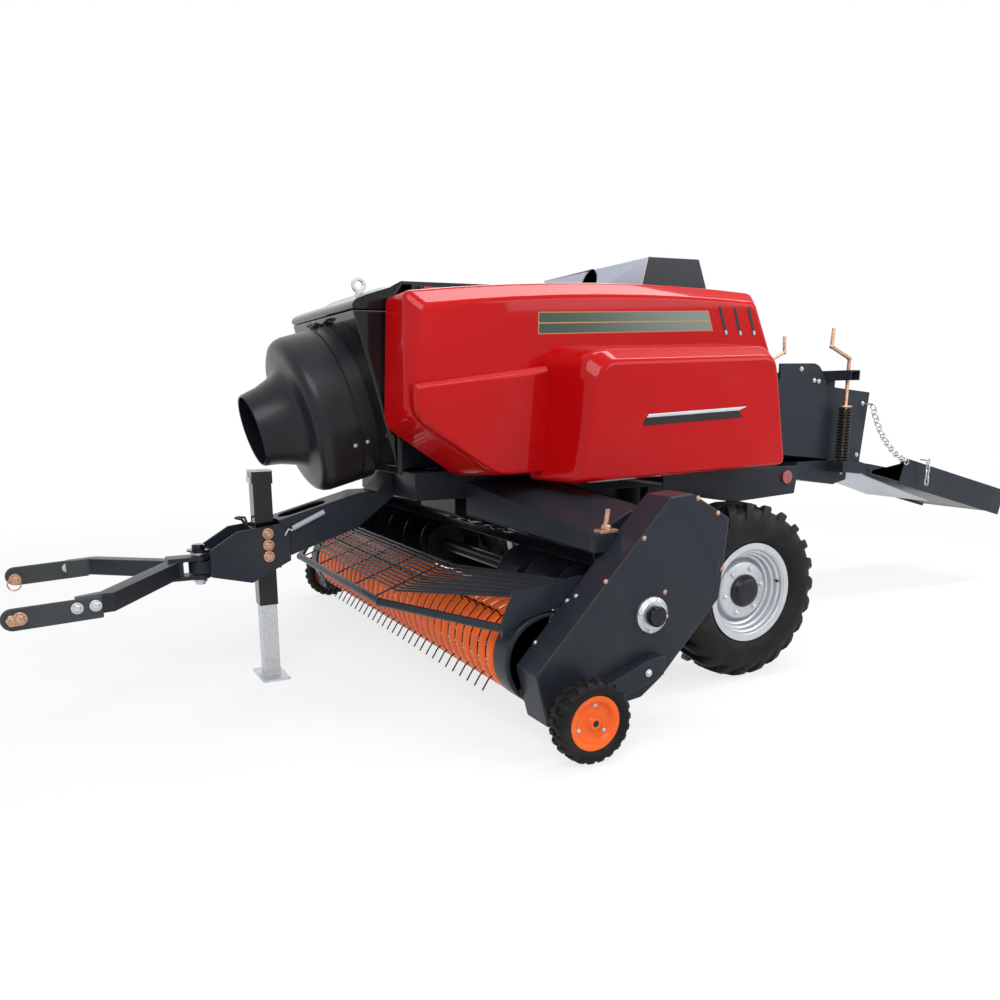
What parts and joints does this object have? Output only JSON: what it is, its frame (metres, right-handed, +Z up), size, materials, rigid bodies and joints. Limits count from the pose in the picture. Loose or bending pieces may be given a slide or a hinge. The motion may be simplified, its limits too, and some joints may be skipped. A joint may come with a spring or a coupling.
{
  "type": "square baler",
  "caption": "Towed square baler: pick-up with tined reel, augers, bale chamber under hinged side covers, swivelling tow fork, jack and folding bale chute.",
  "frame": {"origin": "on the ground under the middle of the main axle, which is the middle of the part's box", "axes": "+X forward to the tow fork, +Y left, +Z up"},
  "size_m": [5.6929, 3.018, 1.82],
  "materials": {
    "anthracite": "satin anthracite paint on steel",
    "black_paint": "gloss black paint on steel",
    "black_plastic": "satin black moulded plastic",
    "red": "gloss red paint",
    "orange": "orange paint on pressed steel",
    "silver": "silver paint on steel",
    "galvanised": "zinc plate",
    "copper": "yellow-red passivated zinc plate",
    "tyre": "black rubber",
    "reflector": "red moulded lens",
    "spring_steel": "black-finished spring steel"
  },
  "bodies": {
    "frame": {"main_axle": "anthracite", "main_frame": "anthracite", "bale_chamber": "anthracite", "knotter_deck": "anthracite", "knotter_hood": "anthracite", "top_deck": "anthracite", "gearbox": "anthracite", "front_panel": "black_paint", "flywheel_cover": "black_plastic", "lifting_eye": "galvanised", "drawbar": "anthracite", "hitch_bracket": "anthracite", "pivot_pin": "galvanised", "jack_tube": "black_paint", "wing_left": "anthracite", "wing_right": "anthracite", "feed_trough": "anthracite", "side_skirts": "anthracite", "reflectors": "reflector", "tension_frame": "anthracite", "spring_left": "spring_steel", "spring_right": "spring_steel", "tension_cranks": "copper", "chute_chains": "galvanised"},
    "drive_shaft": {"pto_shaft": "galvanised", "flywheel": "anthracite"},
    "wheel_left": {"tyre_left": "tyre", "rim_left": "silver"},
    "wheel_right": {"tyre_right": "tyre", "rim_right": "silver"},
    "cover_left": {"cover_left": "red"},
    "cover_right": {"cover_right": "red"},
    "auger": {"auger_shaft": "anthracite", "flight_left": "anthracite", "flight_right": "anthracite"},
    "pickup": {"shield_left": "anthracite", "shield_right": "anthracite", "pickup_beam": "anthracite", "stripper_bands": "orange", "windguard": "anthracite", "gauge_arms": "anthracite"},
    "reel": {"tine_reel": "spring_steel"},
    "gauge_left": {"gauge_tyre_left": "tyre", "gauge_disc_left": "orange"},
    "gauge_right": {"gauge_tyre_right": "tyre", "gauge_disc_right": "orange"},
    "tow_fork": {"tow_fork": "anthracite", "tow_pins": "copper"},
    "jack_leg": {"jack_leg": "galvanised"},
    "bale_chute": {"bale_chute": "anthracite"}
  },
  "joints": [
    {"name": "wheel_left_spin", "type": "hinge", "parent": "frame", "child": "wheel_left", "pos_m": [0, 0.908, 0.38], "axis": [0, 1, 0], "continuous": true},
    {"name": "wheel_right_spin", "type": "hinge", "parent": "frame", "child": "wheel_right", "pos_m": [0, -0.908, 0.38], "axis": [0, 1, 0], "continuous": true},
    {"name": "drive_shaft_spin", "type": "hinge", "parent": "frame", "child": "drive_shaft", "pos_m": [1.5, 0, 1.16], "axis": [1, 0, 0], "continuous": true},
    {"name": "auger_spin", "type": "hinge", "parent": "frame", "child": "auger", "pos_m": [0.79, 0, 0.449], "axis": [0, 1, 0], "continuous": true},
    {"name": "pickup_lift", "type": "hinge", "parent": "frame", "child": "pickup", "pos_m": [0.79, 0, 0.449], "axis": [0, -1, 0], "range_deg": [0, 12]},
    {"name": "reel_spin", "type": "hinge", "parent": "pickup", "child": "reel", "pos_m": [1.13, 0, 0.292], "axis": [0, 1, 0], "continuous": true},
    {"name": "gauge_left_spin", "type": "hinge", "parent": "pickup", "child": "gauge_left", "pos_m": [1.12, 1.464, 0.146], "axis": [0, 1, 0], "continuous": true},
    {"name": "gauge_right_spin", "type": "hinge", "parent": "pickup", "child": "gauge_right", "pos_m": [1.12, -1.464, 0.146], "axis": [0, 1, 0], "continuous": true},
    {"name": "fork_swivel", "type": "hinge", "parent": "frame", "child": "tow_fork", "pos_m": [2.12, 0, 0.52], "axis": [0, 0, 1], "range_deg": [-35, 35]},
    {"name": "jack_slide", "type": "slide", "parent": "frame", "child": "jack_leg", "axis": [0, 0, 1], "range_m": [0, 0.3]},
    {"name": "cover_left_lift", "type": "hinge", "parent": "frame", "child": "cover_left", "pos_m": [0.5, 0.456, 1.626], "axis": [1, 0, 0], "range_deg": [0, 65]},
    {"name": "cover_right_lift", "type": "hinge", "parent": "frame", "child": "cover_right", "pos_m": [0.5, -0.456, 1.626], "axis": [-1, 0, 0], "range_deg": [0, 65]},
    {"name": "chute_fold", "type": "hinge", "parent": "frame", "child": "bale_chute", "pos_m": [-1.545, 0, 0.79], "axis": [0, 1, 0], "range_deg": [0, 80], "deforming": ["chute_chains"]}
  ]
}
